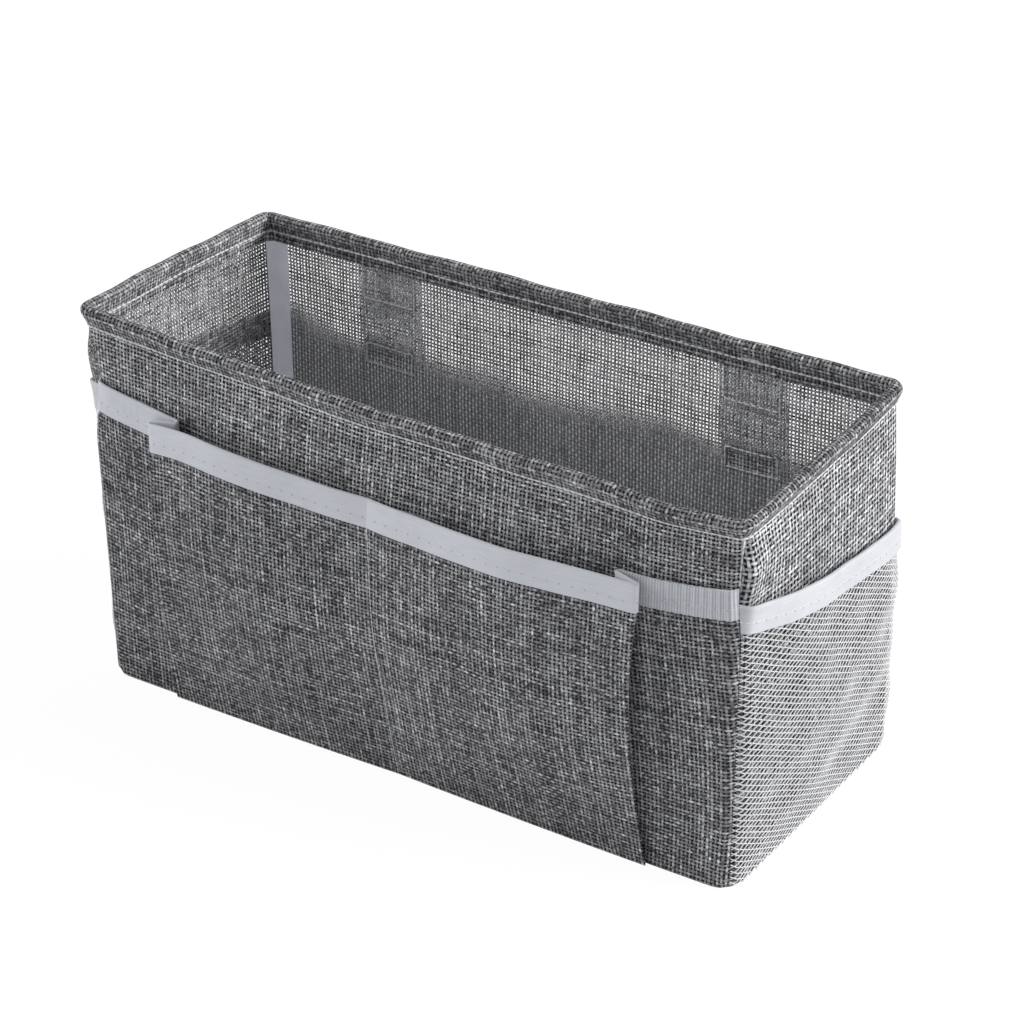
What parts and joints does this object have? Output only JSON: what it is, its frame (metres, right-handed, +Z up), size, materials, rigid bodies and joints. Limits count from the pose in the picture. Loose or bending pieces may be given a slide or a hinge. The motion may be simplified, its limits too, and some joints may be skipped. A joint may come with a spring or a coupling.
{
  "type": "bedside caddy",
  "caption": "Open rectangular grey cloth caddy on a wire rim, with pleated elastic-topped front pockets, net end pockets and hook-and-loop hanging straps.",
  "frame": {"origin": "on the surface it stands on, under the middle of the whole box", "axes": "+X along the length to the right seen from the front, +Y from the front pockets to the back, +Z up"},
  "size_m": [0.3216, 0.141, 0.1647],
  "materials": {
    "linen": "open plain weave of charcoal, grey and off-white threads",
    "elastic": "pale grey folded elastic tape, finely ribbed and gathered",
    "netting": "white knitted net",
    "seam_tape": "pale grey twill tape",
    "wire": "bright drawn wire",
    "stiffener": "matt moulded sheet",
    "gripping_tape": "grey hook-and-loop tape"
  },
  "bodies": {
    "caddy_body": {"front_panel": "linen", "right_end_panel": "linen", "back_panel": "linen", "left_end_panel": "linen", "bottom_panel": "linen", "rim_wire": "wire", "wire_sleeve": "wire", "front_base_tape": "seam_tape", "right_base_tape": "seam_tape", "back_base_tape": "seam_tape", "left_base_tape": "seam_tape", "front_left_corner_tape": "seam_tape", "front_right_corner_tape": "seam_tape", "back_left_corner_tape": "seam_tape", "back_right_corner_tape": "seam_tape", "left_strap_anchor": "linen", "right_strap_anchor": "linen", "left_loop_tape": "gripping_tape", "right_loop_tape": "gripping_tape"},
    "base_board": {"base_board": "stiffener"},
    "front_left_pocket": {"front_left_pocket": "linen", "front_left_binding": "elastic"},
    "left_net_pocket": {"left_net": "netting", "left_net_binding": "elastic"},
    "left_strap": {"left_strap": "linen", "left_hook_tape": "gripping_tape"},
    "front_right_pocket": {"front_right_pocket": "linen", "front_right_binding": "elastic"},
    "right_net_pocket": {"right_net": "netting", "right_net_binding": "elastic"},
    "right_strap": {"right_strap": "linen", "right_hook_tape": "gripping_tape"}
  },
  "joints": [
    {"name": "base_board_lift", "type": "slide", "parent": "caddy_body", "child": "base_board", "axis": [0, 0, 1], "range_m": [0, 0.2]},
    {"name": "front_left_pocket_open", "type": "hinge", "parent": "caddy_body", "child": "front_left_pocket", "pos_m": [-0.075, -0.05728, 0.0012], "axis": [1, 0, 0], "range_deg": [0, 8], "stiffness_Nm_per_rad": 0.3},
    {"name": "left_net_open", "type": "hinge", "parent": "caddy_body", "child": "left_net_pocket", "pos_m": [-0.14742, 0.00642, 0.0012], "axis": [0, -1, 0], "range_deg": [0, 7], "stiffness_Nm_per_rad": 0.3},
    {"name": "left_strap_swing", "type": "hinge", "parent": "caddy_body", "child": "left_strap", "pos_m": [-0.081, 0.06842, 0.13207], "axis": [1, 0, 0], "range_deg": [0, 160]},
    {"name": "front_right_pocket_open", "type": "hinge", "parent": "caddy_body", "child": "front_right_pocket", "pos_m": [0.075, -0.05728, 0.0012], "axis": [1, 0, 0], "range_deg": [0, 8], "stiffness_Nm_per_rad": 0.3},
    {"name": "right_net_open", "type": "hinge", "parent": "caddy_body", "child": "right_net_pocket", "pos_m": [0.14742, 0.00642, 0.0012], "axis": [0, 1, 0], "range_deg": [0, 7], "stiffness_Nm_per_rad": 0.3},
    {"name": "right_strap_swing", "type": "hinge", "parent": "caddy_body", "child": "right_strap", "pos_m": [0.081, 0.06842, 0.13363], "axis": [1, 0, 0], "range_deg": [0, 160]}
  ]
}
